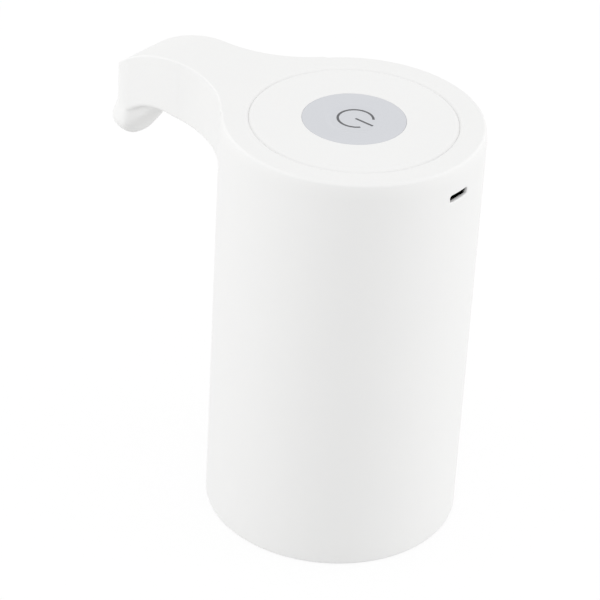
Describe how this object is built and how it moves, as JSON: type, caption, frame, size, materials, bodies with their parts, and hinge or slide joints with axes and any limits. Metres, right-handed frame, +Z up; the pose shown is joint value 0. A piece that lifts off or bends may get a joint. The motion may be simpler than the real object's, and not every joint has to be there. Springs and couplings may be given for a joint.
{
  "type": "bottled water pump",
  "caption": "White drum-shaped electric pump that sits on a large water bottle's neck, with a down-turned spout, a round power button on top and a charging slot opposite the spout.",
  "frame": {"origin": "centre of the bounding box on the plane of the drum's bottom rim", "axes": "+Z up along the drum, spout pointing to -X, charging slot facing +X"},
  "size_m": [0.1238, 0.074, 0.126],
  "materials": {
    "white_plastic": "fine satin, moulded",
    "grey_plastic": "satin, moulded",
    "natural_plastic": "plain moulded",
    "black_plastic": "plain moulded",
    "clear_silicone": "milky, smooth",
    "white_silicone": "soft, smooth",
    "gear_plastic": "plain moulded",
    "board_green": "solder mask",
    "cell_wrap": "shrink wrap over a filled metal can",
    "steel": "plain bright",
    "nickel": "bright strip",
    "magnet": "sintered, dull",
    "copper": "bright",
    "bronze": "sintered",
    "wire_red": "plain sleeve",
    "wire_black": "plain sleeve"
  },
  "bodies": {
    "pump_unit": {"battery_cell": "cell_wrap", "battery_negative_strip": "nickel", "battery_positive_tab": "nickel", "board_screw_1": "steel", "board_screw_2": "steel", "capacitor": "steel", "charge_chip": "black_plastic", "collar_screw_1": "steel", "collar_screw_2": "steel", "collar_screw_3": "steel", "control_board": "board_green", "deck_screw_1": "steel", "deck_screw_2": "steel", "deck_screw_3": "steel", "driven_gear_pin": "steel", "driver_chip": "black_plastic", "frame_screw_1": "steel", "frame_screw_2": "steel", "frame_screw_3": "steel", "frame_screw_4": "steel", "inlet_hose": "clear_silicone", "inner_frame": "natural_plastic", "motor_brush_1": "copper", "motor_brush_2": "copper", "motor_bush_front": "bronze", "motor_bush_rear": "bronze", "motor_can": "steel", "motor_end_bell": "black_plastic", "motor_magnet_1": "magnet", "motor_magnet_2": "magnet", "motor_wire_1": "wire_red", "motor_wire_2": "wire_black", "neck_collar": "natural_plastic", "neck_seal": "white_silicone", "nozzle_insert": "white_silicone", "outer_housing": "white_plastic", "outlet_hose": "clear_silicone", "pump_body": "grey_plastic", "pump_cover": "grey_plastic", "pump_deck": "natural_plastic", "pump_gasket": "black_plastic", "pump_mount_screw_1": "steel", "pump_mount_screw_2": "steel", "pump_screw_1": "steel", "pump_screw_2": "steel", "pump_screw_3": "steel", "pump_screw_4": "steel", "shaft_seal": "black_plastic", "switch_body": "black_plastic", "top_plate": "white_plastic", "usb_socket": "steel"},
    "button": {"power_button": "grey_plastic", "switch_plunger": "white_plastic"},
    "rotor": {"armature": "copper", "commutator": "copper", "motor_shaft": "steel", "drive_gear": "gear_plastic"},
    "driven_wheel": {"driven_gear": "gear_plastic"}
  },
  "joints": [
    {"name": "button_press", "type": "slide", "parent": "pump_unit", "child": "button", "axis": [0, 0, -1], "range_m": [0, 0.0005], "stiffness_N_per_m": 1500},
    {"name": "rotor_spin", "type": "hinge", "parent": "pump_unit", "child": "rotor", "pos_m": [0.0199, -0.0054, 0.09], "axis": [0, 0, 1], "continuous": true},
    {"name": "driven_gear_spin", "type": "hinge", "parent": "pump_unit", "child": "driven_wheel", "pos_m": [0.0199, 0.0054, 0.069], "axis": [0, 0, 1], "continuous": true}
  ],
  "couplings": [
    {"joint": "driven_gear_spin", "follows": "rotor_spin", "ratio": -1}
  ]
}
